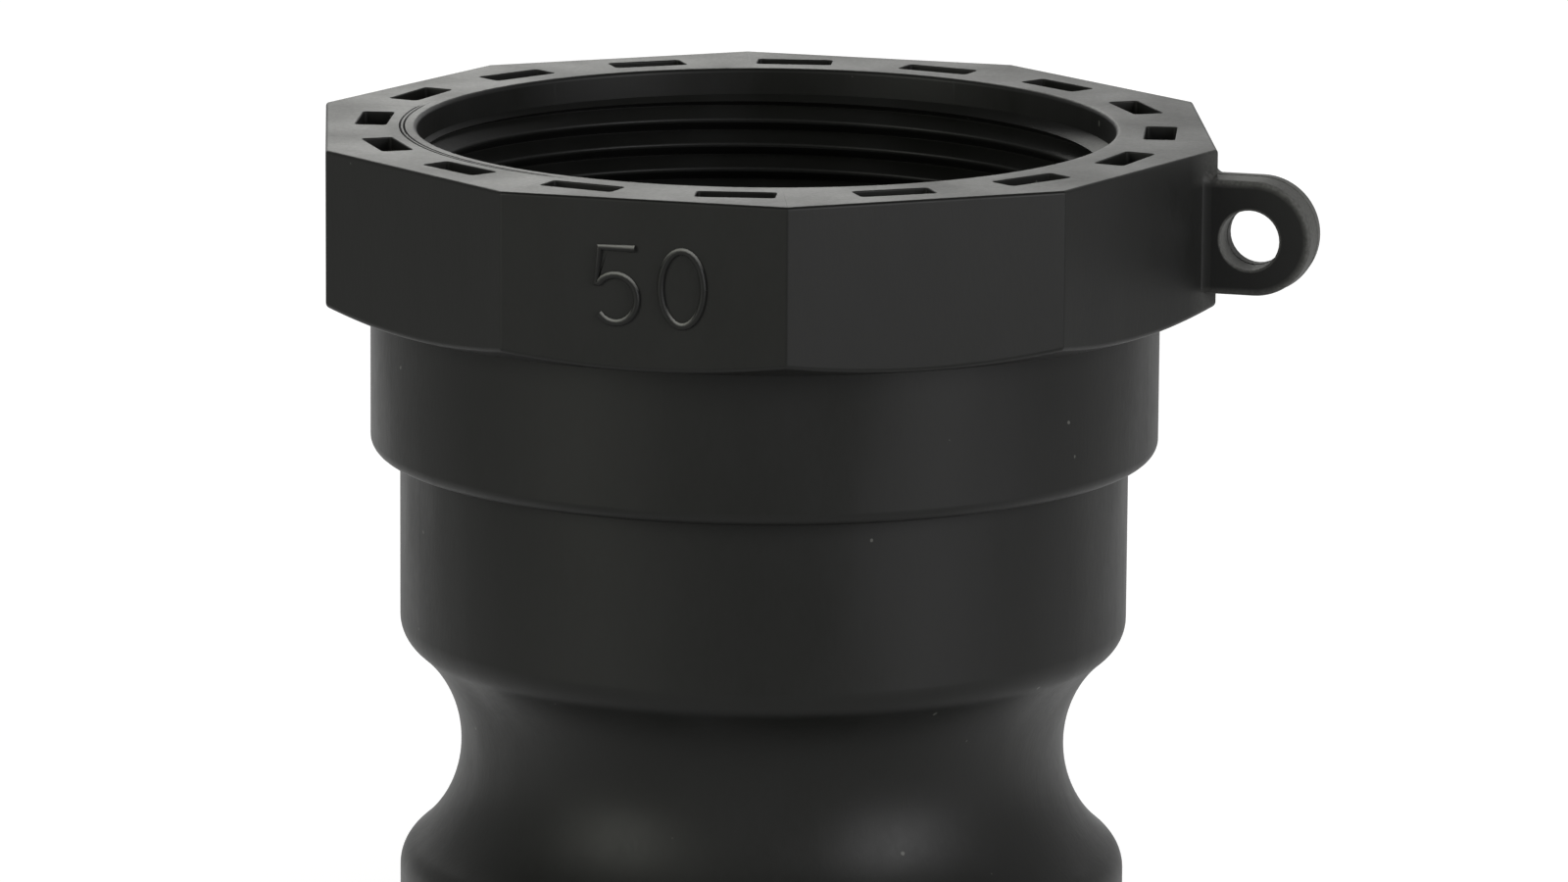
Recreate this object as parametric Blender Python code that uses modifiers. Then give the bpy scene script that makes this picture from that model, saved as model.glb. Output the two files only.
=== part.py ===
"""Male cam-and-groove hose adapter with a female pipe thread, and the flat washer in its socket.

The adapter is one glass-filled polypropylene moulding. It stands on its tip, with the hose axis
upright and the tether lug towards +X. The origin is on the floor, under the middle of the footprint,
so the lug pushes the hose axis a little towards -X.
"""
import math

import bmesh
import bpy
from mathutils import Matrix

MM = 0.001
PLAY = 0.3 * MM
CUT_MARGIN = 2.0 * MM

# How finely the round shapes are divided
TURN_STEPS = 80
GROOVE_STEPS = 14
LUG_END_STEPS = 16
LUG_HOLE_STEPS = 32
LUG_ROOT_STEPS = 6
EDGE_STEPS = 4
BREAK_STEPS = 2
BREAK_ANGLE = math.radians(60)
WELD_DISTANCE = 0.01 * MM
SHARP_ANGLE = math.radians(30)

# Female pipe thread, left as a plain bore at the crests
THREAD_CREST_RADIUS = 28.3 * MM
THREAD_HEIGHT = 1.7 * MM
THREAD_FLANK = math.radians(30)
THREAD_LENGTH = 18.7 * MM
LEAD_IN_DEPTH = 2.3 * MM

# Flat washer in its recess under the thread
WASHER_THICKNESS = 4.0 * MM
WASHER_WIDTH = 4.5 * MM
WASHER_EDGE = 0.5 * MM
WASHER_BEVEL = 0.5 * MM
RECESS_RELIEF = 0.2 * MM
SEAT_LEDGE = 0.4 * MM
SEAT_FLOOR = 2.5 * MM

# Ten-sided wrench head, cored out by a ring of pockets
HEAD_SIDES = 10
HEAD_HEIGHT = 14.5 * MM
HEAD_SKIN = 2.65 * MM
HEAD_EDGE = 0.35 * MM
CORNER_TRIM_WIDTH = 2.3 * MM
CORNER_TRIM_ANGLE = math.radians(25)
POCKET_COUNT = 16
POCKET_INNER_WALL = 2.55 * MM
POCKET_WIDTH = 2.65 * MM
POCKET_LENGTH = 6.6 * MM
POCKET_FLOOR = 3.0 * MM
POCKET_CORNER = 0.35 * MM
POCKET_DRAFT = math.radians(0.5)

# Tether lug on one corner of the head
LUG_THICKNESS = 4.3 * MM
LUG_HOLE_RADIUS = 2.65 * MM
LUG_RIM = 2.4 * MM
LUG_HOLE_GAP = 1.0 * MM
LUG_TOP_SETBACK = 2.1 * MM
LUG_ROOT_DEPTH = 3.0 * MM
LUG_ROOT_RADIUS = 0.6 * MM
LUG_ROOT_SINK = 0.02 * MM
LUG_EDGE = 0.4 * MM

# Collar, shank and cam groove
COLLAR_WALL = 4.05 * MM
COLLAR_EDGE_RADIUS = 1.2 * MM
BODY_RADIUS = 31.5 * MM
SHANK_LENGTH = 25.9 * MM
GROOVE_DEPTH = 5.3 * MM
GROOVE_RADIUS = 11.3 * MM
GROOVE_EDGE_RADIUS = 3.2 * MM
GROOVE_WALL = 3.2 * MM

# Tip, which seals on the coupler's gasket
NOSE_LENGTH = 20.0 * MM
TIP_TAPER = 0.9 * MM
TIP_TAPER_LENGTH = 3.4 * MM
TIP_EDGE_RADIUS = 1.2 * MM
BORE_TAPER_LENGTH = 12.0 * MM
BORE_CHAMFER = 0.8 * MM

# Heights, stacked up from the tip
GROOVE_HEIGHT = NOSE_LENGTH
COLLAR_BASE = GROOVE_HEIGHT + SHANK_LENGTH
SEAT_HEIGHT = COLLAR_BASE + SEAT_FLOOR
RECESS_TOP = SEAT_HEIGHT + WASHER_THICKNESS + 2 * PLAY
TOP = RECESS_TOP + THREAD_LENGTH + LEAD_IN_DEPTH
HEAD_BASE = TOP - HEAD_HEIGHT

# Radii, worked outwards and inwards from the thread and the body
THREAD_ROOT_RADIUS = THREAD_CREST_RADIUS + THREAD_HEIGHT
RECESS_RADIUS = THREAD_ROOT_RADIUS + RECESS_RELIEF
WASHER_OUTER_RADIUS = RECESS_RADIUS - PLAY
WASHER_INNER_RADIUS = WASHER_OUTER_RADIUS - WASHER_WIDTH
SEAT_BORE_RADIUS = WASHER_INNER_RADIUS - SEAT_LEDGE
COLLAR_RADIUS = THREAD_ROOT_RADIUS + COLLAR_WALL
POCKET_INNER_RADIUS = THREAD_ROOT_RADIUS + POCKET_INNER_WALL
HEAD_FLAT_RADIUS = POCKET_INNER_RADIUS + POCKET_WIDTH + HEAD_SKIN
HEAD_CORNER_RADIUS = HEAD_FLAT_RADIUS / math.cos(math.pi / HEAD_SIDES)
BORE_RADIUS = BODY_RADIUS - GROOVE_DEPTH - GROOVE_WALL

# The lug, and the hose axis that it shifts off the middle of the footprint
LUG_END_RADIUS = LUG_HOLE_RADIUS + LUG_RIM
LUG_HOLE_X = HEAD_CORNER_RADIUS + LUG_HOLE_GAP + LUG_HOLE_RADIUS
LUG_HOLE_Z = TOP - LUG_TOP_SETBACK - LUG_END_RADIUS
AXIS_X = -(LUG_HOLE_X + LUG_END_RADIUS - HEAD_CORNER_RADIUS) / 2


def clear_scene():
    for obj in list(bpy.data.objects):
        bpy.data.objects.remove(obj)


def new_collection(name):
    collection = bpy.data.collections.new(name)
    bpy.context.scene.collection.children.link(collection)
    return collection


def new_material(name, colour, roughness):
    material = bpy.data.materials.new(name)
    material.use_nodes = True
    shader = material.node_tree.nodes["Principled BSDF"]
    shader.inputs["Base Color"].default_value = (*colour, 1.0)
    shader.inputs["Roughness"].default_value = roughness
    shader.inputs["Metallic"].default_value = 0.0
    return material


def new_object(name, mesh, collection, axis):
    """An object that stands on the hose axis."""
    obj = bpy.data.objects.new(name, mesh)
    collection.objects.link(obj)
    obj.parent = axis
    return obj


def make_cutter(obj):
    obj.hide_render = True
    obj.display_type = "WIRE"


def arc(centre, radius, start, end, steps):
    """Points (radius from the hose axis, height) along an arc, with both ends."""
    points = []
    for step in range(steps + 1):
        angle = start + (end - start) * step / steps
        points.append((centre[0] + radius * math.cos(angle), centre[1] + radius * math.sin(angle)))
    return points


def turned(name, profile, collection, axis, closed=False):
    """A solid of revolution: the profile runs down its outer side."""
    mesh = bpy.data.meshes.new(name)
    edges = [(index, index + 1) for index in range(len(profile) - 1)]
    if closed:
        edges.append((len(profile) - 1, 0))
    mesh.from_pydata([(radius, 0.0, height) for radius, height in profile], edges, [])
    obj = new_object(name, mesh, collection, axis)
    screw = obj.modifiers.new("Turn", "SCREW")
    screw.steps = TURN_STEPS
    screw.render_steps = TURN_STEPS
    screw.use_merge_vertices = True
    screw.merge_threshold = WELD_DISTANCE
    screw.use_smooth_shade = True
    return obj


def combine(obj, operation, other):
    """Joins the other shape to the object, or cuts it away, and keeps it as a guide."""
    boolean = obj.modifiers.new(f"{operation.title()} {other.name}", "BOOLEAN")
    boolean.operation = operation
    boolean.object = other
    make_cutter(other)


def break_edges(obj, width):
    bevel = obj.modifiers.new("Edges", "BEVEL")
    bevel.width = width
    bevel.segments = BREAK_STEPS
    bevel.limit_method = "ANGLE"
    bevel.angle_limit = BREAK_ANGLE


def finish(obj, material):
    """Applies the modifiers and shades the round faces smooth."""
    graph = bpy.context.evaluated_depsgraph_get()
    mesh = bpy.data.meshes.new_from_object(obj.evaluated_get(graph))
    obj.modifiers.clear()
    obj.data = mesh
    mesh.materials.clear()
    mesh.materials.append(material)
    mesh.shade_smooth()
    mesh.set_sharp_from_angle(angle=SHARP_ANGLE)


def groove_profile():
    """The cam groove: one concave arc, blended into the body by a convex arc above and below."""
    centre_radius = BODY_RADIUS - GROOVE_DEPTH + GROOVE_RADIUS
    edge_radius = BODY_RADIUS - GROOVE_EDGE_RADIUS
    reach = centre_radius - edge_radius
    rise = math.sqrt((GROOVE_RADIUS + GROOVE_EDGE_RADIUS) ** 2 - reach ** 2)
    tilt = math.atan2(rise, reach)
    upper = (edge_radius, GROOVE_HEIGHT + rise)
    lower = (edge_radius, GROOVE_HEIGHT - rise)
    points = arc(upper, GROOVE_EDGE_RADIUS, 0.0, -tilt, EDGE_STEPS)
    centre = (centre_radius, GROOVE_HEIGHT)
    points += arc(centre, GROOVE_RADIUS, math.pi - tilt, math.pi + tilt, GROOVE_STEPS)[1:-1]
    points += arc(lower, GROOVE_EDGE_RADIUS, tilt, 0.0, EDGE_STEPS)
    return points


def barrel(collection, axis):
    """Collar, shank, groove, lip and tip, solid, and reaching halfway up inside the head."""
    core_top = (HEAD_BASE + TOP) / 2
    tip_radius = BODY_RADIUS - TIP_TAPER
    collar_edge = (COLLAR_RADIUS - COLLAR_EDGE_RADIUS, COLLAR_BASE + COLLAR_EDGE_RADIUS)
    tip_edge = (tip_radius - TIP_EDGE_RADIUS, TIP_EDGE_RADIUS)
    profile = [(0.0, core_top), (COLLAR_RADIUS, core_top)]
    profile += arc(collar_edge, COLLAR_EDGE_RADIUS, 0.0, -math.pi / 2, EDGE_STEPS)
    profile.append((BODY_RADIUS, COLLAR_BASE))
    profile += groove_profile()
    profile.append((BODY_RADIUS, TIP_TAPER_LENGTH))
    profile += arc(tip_edge, TIP_EDGE_RADIUS, 0.0, -math.pi / 2, EDGE_STEPS)
    profile.append((0.0, 0.0))
    return turned("adapter_body", profile, collection, axis)


def head_blank(collection, axis):
    """The ten-sided head, its underside trimmed by a cone that shortens the corners.

    Only its two rims are broken: the upright edges between the flats stay crisp.
    """
    shape = bmesh.new()
    bmesh.ops.create_cone(
        shape,
        cap_ends=True,
        segments=HEAD_SIDES,
        radius1=HEAD_CORNER_RADIUS,
        radius2=HEAD_CORNER_RADIUS,
        depth=HEAD_HEIGHT,
        matrix=Matrix.Translation((0.0, 0.0, HEAD_BASE + HEAD_HEIGHT / 2)),
    )
    corner_to_lug = Matrix.Rotation(math.atan2(shape.verts[:][0].co.y, shape.verts[:][0].co.x), 3, "Z")
    bmesh.ops.rotate(shape, verts=shape.verts, matrix=corner_to_lug.inverted())
    mesh = bpy.data.meshes.new("head_blank")
    shape.to_mesh(mesh)
    shape.free()
    head = new_object("head_blank", mesh, collection, axis)
    break_edges(head, HEAD_EDGE)
    inner = HEAD_CORNER_RADIUS - CORNER_TRIM_WIDTH
    outer = HEAD_CORNER_RADIUS + CUT_MARGIN
    slope = math.tan(CORNER_TRIM_ANGLE)
    below = CUT_MARGIN / slope
    ring = [
        (outer, HEAD_BASE + (outer - inner) * slope),
        (outer, HEAD_BASE - CUT_MARGIN),
        (inner - below, HEAD_BASE - CUT_MARGIN),
    ]
    combine(head, "DIFFERENCE", turned("corner_trim", ring, collection, axis, closed=True))
    return head


def plate(name, outline, thickness, place, collection, axis):
    """A flat plate of the given outline, set in its place and welded into one closed mesh."""
    curve = bpy.data.curves.new(name, "CURVE")
    curve.dimensions = "2D"
    curve.fill_mode = "BOTH"
    curve.extrude = thickness / 2
    spline = curve.splines.new("POLY")
    spline.points.add(len(outline) - 1)
    for point, (across, up) in zip(spline.points, outline):
        point.co = (across, up, 0.0, 1.0)
    spline.use_cyclic_u = True
    flat = new_object(name, curve, collection, axis)
    flat.matrix_local = place
    bpy.context.view_layer.update()
    graph = bpy.context.evaluated_depsgraph_get()
    mesh = bpy.data.meshes.new_from_object(flat.evaluated_get(graph))
    shape = bmesh.new()
    shape.from_mesh(mesh)
    bmesh.ops.remove_doubles(shape, verts=shape.verts, dist=WELD_DISTANCE)
    shape.to_mesh(mesh)
    shape.free()
    solid = new_object(name, mesh, collection, axis)
    solid.matrix_world = flat.matrix_world
    bpy.data.objects.remove(flat)
    return solid


def lug_blank(collection, axis):
    """The tether lug, a plate with a round end that stands in the plane through the hose axis."""
    root = HEAD_CORNER_RADIUS - LUG_ROOT_DEPTH
    outline = arc((LUG_HOLE_X, LUG_HOLE_Z), LUG_END_RADIUS, -math.pi / 2, math.pi / 2, LUG_END_STEPS)
    outline += [(root, LUG_HOLE_Z + LUG_END_RADIUS), (root, LUG_HOLE_Z - LUG_END_RADIUS)]
    upright = Matrix.Rotation(math.pi / 2, 4, "X")
    lug = plate("lug_blank", outline, LUG_THICKNESS, upright, collection, axis)
    break_edges(lug, LUG_EDGE)
    return lug


def lug_root(collection, axis):
    """The fillets between the sides of the lug and the two flats that it grows out of."""
    lean = math.pi / HEAD_SIDES
    side = LUG_THICKNESS / 2 + LUG_ROOT_RADIUS
    reach = (HEAD_FLAT_RADIUS + LUG_ROOT_RADIUS - side * math.sin(lean)) / math.cos(lean)
    sunk_radius = LUG_ROOT_RADIUS + LUG_ROOT_SINK
    left = arc((reach, side), sunk_radius, -math.pi / 2, lean - math.pi, LUG_ROOT_STEPS)
    right = [(across, -up) for across, up in reversed(left)]
    height = 2 * (LUG_END_RADIUS - LUG_EDGE)
    place = Matrix.Translation((0.0, 0.0, LUG_HOLE_Z))
    return plate("lug_root", left + right, height, place, collection, axis)


def lug_hole(collection, axis):
    shape = bmesh.new()
    bmesh.ops.create_cone(
        shape,
        cap_ends=True,
        segments=LUG_HOLE_STEPS,
        radius1=LUG_HOLE_RADIUS,
        radius2=LUG_HOLE_RADIUS,
        depth=LUG_THICKNESS + 2 * CUT_MARGIN,
        matrix=Matrix.Translation((LUG_HOLE_X, 0.0, LUG_HOLE_Z)) @ Matrix.Rotation(math.pi / 2, 4, "X"),
    )
    mesh = bpy.data.meshes.new("lug_hole")
    shape.to_mesh(mesh)
    shape.free()
    return new_object("lug_hole", mesh, collection, axis)


def bore(collection, axis):
    """Lead-in, thread crests, washer recess, seat and the bore down to the tip."""
    flank_rise = THREAD_HEIGHT * math.tan(THREAD_FLANK)
    profile = [
        (0.0, TOP + CUT_MARGIN),
        (THREAD_ROOT_RADIUS, TOP + CUT_MARGIN),
        (THREAD_ROOT_RADIUS, TOP - LEAD_IN_DEPTH),
        (THREAD_CREST_RADIUS, TOP - LEAD_IN_DEPTH - flank_rise),
        (THREAD_CREST_RADIUS, RECESS_TOP),
        (RECESS_RADIUS, RECESS_TOP),
        (RECESS_RADIUS, SEAT_HEIGHT),
        (SEAT_BORE_RADIUS, SEAT_HEIGHT),
        (BORE_RADIUS, SEAT_HEIGHT - BORE_TAPER_LENGTH),
        (BORE_RADIUS, BORE_CHAMFER),
        (BORE_RADIUS + BORE_CHAMFER + CUT_MARGIN, -CUT_MARGIN),
        (0.0, -CUT_MARGIN),
    ]
    return turned("bore", profile, collection, axis)


def pockets(collection, axis):
    """The coring pockets, open at the top and drawn in a little towards their floors."""
    floor = HEAD_BASE + POCKET_FLOOR
    height = TOP + CUT_MARGIN - floor
    draw = height * math.tan(POCKET_DRAFT)
    middle = POCKET_INNER_RADIUS + POCKET_WIDTH / 2
    shape = bmesh.new()
    for index in range(POCKET_COUNT):
        turn = Matrix.Rotation(2 * math.pi * (index + 0.5) / POCKET_COUNT, 4, "Z")
        place = turn @ Matrix.Translation((middle, 0.0, floor + height / 2))
        corners = bmesh.ops.create_cube(shape, size=1.0)["verts"]
        for corner in corners:
            inset = 2 * draw if corner.co.z < 0 else 0.0
            corner.co.x *= POCKET_WIDTH - inset
            corner.co.y *= POCKET_LENGTH - inset
            corner.co.z *= height
        bmesh.ops.transform(shape, matrix=place, verts=corners)
    uprights = [edge for edge in shape.edges if abs(edge.verts[0].co.z - edge.verts[1].co.z) > height / 2]
    bmesh.ops.bevel(
        shape,
        geom=uprights,
        offset=POCKET_CORNER,
        segments=BREAK_STEPS,
        profile=0.5,
        affect="EDGES",
    )
    mesh = bpy.data.meshes.new("pockets")
    shape.to_mesh(mesh)
    shape.free()
    return new_object("pockets", mesh, collection, axis)


def thread_washer(collection, axis):
    """The rubber ring on its seat. It is flat where the pipe reaches it, inside the thread's crests.

    Its rim is bevelled from there out, on both sides, so it can be pressed in past the thread.
    """
    low = SEAT_HEIGHT + PLAY
    high = low + WASHER_THICKNESS
    flat_radius = THREAD_CREST_RADIUS - PLAY
    profile = [
        (flat_radius, high),
        (WASHER_OUTER_RADIUS, high - WASHER_BEVEL),
        (WASHER_OUTER_RADIUS, low + WASHER_BEVEL),
        (flat_radius, low),
        (WASHER_INNER_RADIUS + WASHER_EDGE, low),
        (WASHER_INNER_RADIUS, low + WASHER_EDGE),
        (WASHER_INNER_RADIUS, high - WASHER_EDGE),
        (WASHER_INNER_RADIUS + WASHER_EDGE, high),
    ]
    return turned("thread_washer", profile, collection, axis, closed=True)


def build():
    clear_scene()
    parts = new_collection("hose_adapter")
    cutters = new_collection("cutters")
    axis = bpy.data.objects.new("hose_axis", None)
    axis.location = (AXIS_X, 0.0, 0.0)
    parts.objects.link(axis)
    plastic = new_material("glass_filled_polypropylene", (0.021, 0.021, 0.022), 0.5)
    rubber = new_material("black_rubber", (0.012, 0.012, 0.012), 0.75)

    body = barrel(parts, axis)
    combine(body, "UNION", head_blank(cutters, axis))
    combine(body, "UNION", lug_blank(cutters, axis))
    combine(body, "UNION", lug_root(cutters, axis))
    combine(body, "DIFFERENCE", bore(cutters, axis))
    combine(body, "DIFFERENCE", pockets(cutters, axis))
    combine(body, "DIFFERENCE", lug_hole(cutters, axis))
    washer = thread_washer(parts, axis)
    bpy.context.view_layer.update()
    finish(body, plastic)
    finish(washer, rubber)


build()
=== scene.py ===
"""A black cam-and-groove hose adapter with a threaded socket, standing on its tip on a white floor."""
import math

import bmesh
import bpy
from mathutils import Matrix, Vector


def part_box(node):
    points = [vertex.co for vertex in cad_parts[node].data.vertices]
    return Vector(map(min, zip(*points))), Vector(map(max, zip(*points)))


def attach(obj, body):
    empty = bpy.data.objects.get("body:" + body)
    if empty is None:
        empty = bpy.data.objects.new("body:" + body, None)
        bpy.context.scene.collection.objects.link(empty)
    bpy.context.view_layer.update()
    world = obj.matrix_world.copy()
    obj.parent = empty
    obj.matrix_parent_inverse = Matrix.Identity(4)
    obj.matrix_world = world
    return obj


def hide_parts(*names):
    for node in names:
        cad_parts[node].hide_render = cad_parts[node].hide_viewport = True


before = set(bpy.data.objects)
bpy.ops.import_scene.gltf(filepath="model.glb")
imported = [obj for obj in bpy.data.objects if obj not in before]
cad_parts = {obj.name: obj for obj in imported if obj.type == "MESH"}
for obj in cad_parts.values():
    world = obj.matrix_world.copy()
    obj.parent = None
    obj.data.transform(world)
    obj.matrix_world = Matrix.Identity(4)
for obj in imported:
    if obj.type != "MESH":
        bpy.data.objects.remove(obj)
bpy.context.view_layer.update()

# The moulding's plastic
# Polypropylene filled with black pigment and chopped glass, moulded against spark-eroded steel: a dense
# charcoal with a satin skin, a fine grain, faint cloudy flow marks and pale dust; a paler lug rim and a
# painted highlight on the number are added further down.
MM = 0.001
AXIS_X = sum(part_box("thread_washer"), Vector()).x / 2
PLASTIC_DARK = (0.0050, 0.0052, 0.0044)
PLASTIC_LIGHT = (0.0082, 0.0083, 0.0079)
PLASTIC_SPECULAR = 0.16
PLASTIC_ROUGHNESS = (0.42, 0.52)
FIBRE_ROUGHNESS = 0.03
FIBRE_SHARE = 0.25
DUST_TONE = (0.06, 0.06, 0.055)
DUST_LEVELS = (0.885, 0.9)
CLOUD_SIZE = 9 * MM
SWELL_SIZE = 5 * MM
SPECK_SIZE = 0.9 * MM
FIBRE_SIZE = 0.35 * MM
GRAIN_SIZE = 0.12 * MM
SWELL_HEIGHT = 0.05 * MM
FIBRE_HEIGHT = 0.006 * MM
GRAIN_HEIGHT = 0.004 * MM
NOISE_SPAN = (0.3, 0.7)
NO_TONE = (0.0, 0.0, 0.0)


def node(tree, kind, *values, **settings):
    """Adds a node with its settings and feeds its inputs in order: a socket is linked, a value is set."""
    added = tree.nodes.new(kind)
    for setting, value in settings.items():
        setattr(added, setting, value)
    sockets = [socket for socket in added.inputs if socket.enabled]
    for socket, value in zip(sockets, values):
        if isinstance(value, bpy.types.NodeSocket):
            tree.links.new(value, socket)
        elif value is not None:
            socket.default_value = value
    return added


def output(added):
    """The node's output that is in use."""
    return next(socket for socket in added.outputs if socket.enabled)


def maths(tree, operation, *values):
    return output(node(tree, "ShaderNodeMath", *values, operation=operation))


def vectors(tree, operation, *values):
    return output(node(tree, "ShaderNodeVectorMath", *values, operation=operation))


def noise(tree, place, size, detail=2.0, stretch=(1.0, 1.0, 1.0)):
    """Cloudy noise about the hose axis, from 0 to 1, whose blotches are about the given size."""
    centred = node(tree, "ShaderNodeMapping", place, (-AXIS_X, 0.0, 0.0), None, stretch).outputs[0]
    return node(tree, "ShaderNodeTexNoise", centred, 1 / size, detail).outputs[0]


def ramp(tree, value, low, high, bottom, top):
    """Carries a value from one range into another, and holds it there."""
    return node(tree, "ShaderNodeMapRange", value, low, high, bottom, top).outputs[0]


def new_shader(name, specular):
    material = bpy.data.materials.new(name)
    material.use_nodes = True
    tree = material.node_tree
    shader = tree.nodes["Principled BSDF"]
    shader.inputs["Specular IOR Level"].default_value = specular
    place = node(tree, "ShaderNodeTexCoord").outputs["Object"]
    return material, tree, shader, place


def tones(tree, amount, dark, light):
    """A colour between two tones."""
    return output(node(tree, "ShaderNodeMix", amount, (*dark, 1.0), (*light, 1.0), data_type="RGBA"))


def add_tones(tree, first, second):
    return output(node(tree, "ShaderNodeMix", 1.0, first, second, data_type="RGBA", blend_type="ADD"))


def bump(tree, height, distance, below=None):
    return node(tree, "ShaderNodeBump", 1.0, distance, None, height, below).outputs[0]


def make_polypropylene():
    material, tree, shader, place = new_shader("glass_filled_polypropylene", PLASTIC_SPECULAR)
    cloud = noise(tree, place, CLOUD_SIZE, detail=3.0, stretch=(1.0, 1.0, 0.5))
    fibre = noise(tree, place, FIBRE_SIZE, stretch=(1.0, 1.0, 0.3))
    grain = noise(tree, place, GRAIN_SIZE, detail=1.0)
    swell = noise(tree, place, SWELL_SIZE, detail=1.0, stretch=(1.0, 1.0, 0.4))
    speck = ramp(tree, noise(tree, place, SPECK_SIZE, detail=0.0), *DUST_LEVELS, 0.0, 1.0)
    cloudy = ramp(tree, cloud, *NOISE_SPAN, 0.0, 1.0 - FIBRE_SHARE)
    tone = maths(tree, "ADD", cloudy, ramp(tree, fibre, *NOISE_SPAN, 0.0, FIBRE_SHARE))
    plastic = tones(tree, tone, PLASTIC_DARK, PLASTIC_LIGHT)
    dust = tones(tree, speck, NO_TONE, DUST_TONE)
    tree.links.new(add_tones(tree, plastic, dust), shader.inputs["Base Color"])
    satin = ramp(tree, cloud, *NOISE_SPAN, *PLASTIC_ROUGHNESS)
    streaks = ramp(tree, fibre, 0.2, 0.8, -FIBRE_ROUGHNESS, FIBRE_ROUGHNESS)
    tree.links.new(maths(tree, "ADD", satin, streaks), shader.inputs["Roughness"])
    waves = bump(tree, swell, SWELL_HEIGHT)
    waves = bump(tree, fibre, FIBRE_HEIGHT, waves)
    tree.links.new(bump(tree, grain, GRAIN_HEIGHT, waves), shader.inputs["Normal"])
    return material


def pale_plastic(paleness, tone, roughness):
    """Pales and roughens the plastic by an amount from 0 to 1: it gives the paler lug rim and hole, and
    the painted highlight on the number's beads.
    """
    tree = polypropylene.node_tree
    inputs = tree.nodes["Principled BSDF"].inputs
    # This pale colour is a painted highlight where it is used on the number's beads.
    colour = add_tones(tree, inputs["Base Color"].links[0].from_socket, tones(tree, paleness, NO_TONE, tone))
    tree.links.new(colour, inputs["Base Color"])
    rougher = maths(tree, "MULTIPLY", paleness, roughness)
    rough = maths(tree, "ADD", inputs["Roughness"].links[0].from_socket, rougher)
    tree.links.new(rough, inputs["Roughness"])


polypropylene = make_polypropylene()

# Head, collar, shank, groove and tip
# The outside of the moulding: a ten-sided wrench head whose corners are trimmed underneath, a collar, a
# turned shank with the cam groove, and a tapered tip. One outline is swept round the hose axis.
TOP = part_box("adapter_body")[1].z
HEAD_SIDES = 10
HEAD_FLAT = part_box("adapter_body")[1].y
HEAD_BASE = TOP - 14.5 * MM
HEAD_CORNER_ROUND = 0.4 * MM
TOP_EDGE = 0.3 * MM
TRIM_ANGLE = math.radians(25)
TRIM_RADIUS = HEAD_FLAT / math.cos(math.pi / HEAD_SIDES) - 2.3 * MM
UNDER_EDGE = 0.5 * MM
COLLAR_RADIUS = 34.05 * MM
COLLAR_BASE = 45.9 * MM
COLLAR_EDGE = 1.2 * MM
COLLAR_ROOT = 0.4 * MM
SHANK_RADIUS = 31.5 * MM
SHANK_ROOT = 0.3 * MM
GROOVE_HEIGHT = 20.0 * MM
GROOVE_DEPTH = 5.3 * MM
GROOVE_RADIUS = 11.3 * MM
GROOVE_EDGE = 3.2 * MM
TIP_TAPER = 0.9 * MM
TIP_TAPER_LENGTH = 3.4 * MM
TIP_EDGE = 1.2 * MM
WITNESS_RADII = (31.15 * MM, 31.5 * MM)
WITNESS_WIDTH = 0.2 * MM
WITNESS_DEPTH = 0.18 * MM
WITNESS_AZIMUTH = math.radians(215)
WITNESS_FADE = (0.75, 0.95)
CORNER_COLUMNS = 4
FLAT_COLUMNS = 24
FILLET_STEPS = 4
EDGE_STEPS = 8
UNDER_EDGE_STEPS = 5
BLEND_STEPS = 10
GROOVE_STEPS = 36
MERGE_DISTANCE = 0.0005 * MM


def new_tree(name, inputs):
    """A tree that takes a mesh and named sizes and gives a mesh: the tree, its inputs and its output."""
    tree = bpy.data.node_groups.new(name, "GeometryNodeTree")
    tree.interface.new_socket("Mesh", in_out="INPUT", socket_type="NodeSocketGeometry")
    for label, kind in inputs.items():
        tree.interface.new_socket(label, in_out="INPUT", socket_type=kind)
    tree.interface.new_socket("Mesh", in_out="OUTPUT", socket_type="NodeSocketGeometry")
    return tree, tree.nodes.new("NodeGroupInput").outputs, tree.nodes.new("NodeGroupOutput").inputs[0]


def end_tree(tree, geometry, result):
    """Merges the seams, shades it smooth, and ends the tree in real geometry with the plastic on it."""
    merged = node(tree, "GeometryNodeMergeByDistance", geometry, True, MERGE_DISTANCE).outputs[0]
    smooth = node(tree, "GeometryNodeSetShadeSmooth", merged, True, True).outputs[0]
    real = node(tree, "GeometryNodeRealizeInstances", smooth).outputs[0]
    tree.links.new(node(tree, "GeometryNodeSetMaterial", real, True, polypropylene).outputs[0], result)


def grow(name, start, tree, sizes):
    """Runs a tree on a start mesh or curve with its sizes set, and gives the result as a plain object."""
    seed = bpy.data.objects.new(name, start)
    bpy.context.scene.collection.objects.link(seed)
    modifier = seed.modifiers.new(name, "NODES")
    modifier.node_group = tree
    for socket in tree.interface.items_tree:
        if socket.in_out == "INPUT" and socket.name in sizes:
            modifier[socket.identifier] = sizes[socket.name]
    graph = bpy.context.evaluated_depsgraph_get()
    mesh = bpy.data.meshes.new_from_object(seed.evaluated_get(graph))
    bpy.data.objects.remove(seed)
    obj = bpy.data.objects.new(name, mesh)
    bpy.context.scene.collection.objects.link(obj)
    return obj


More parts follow.
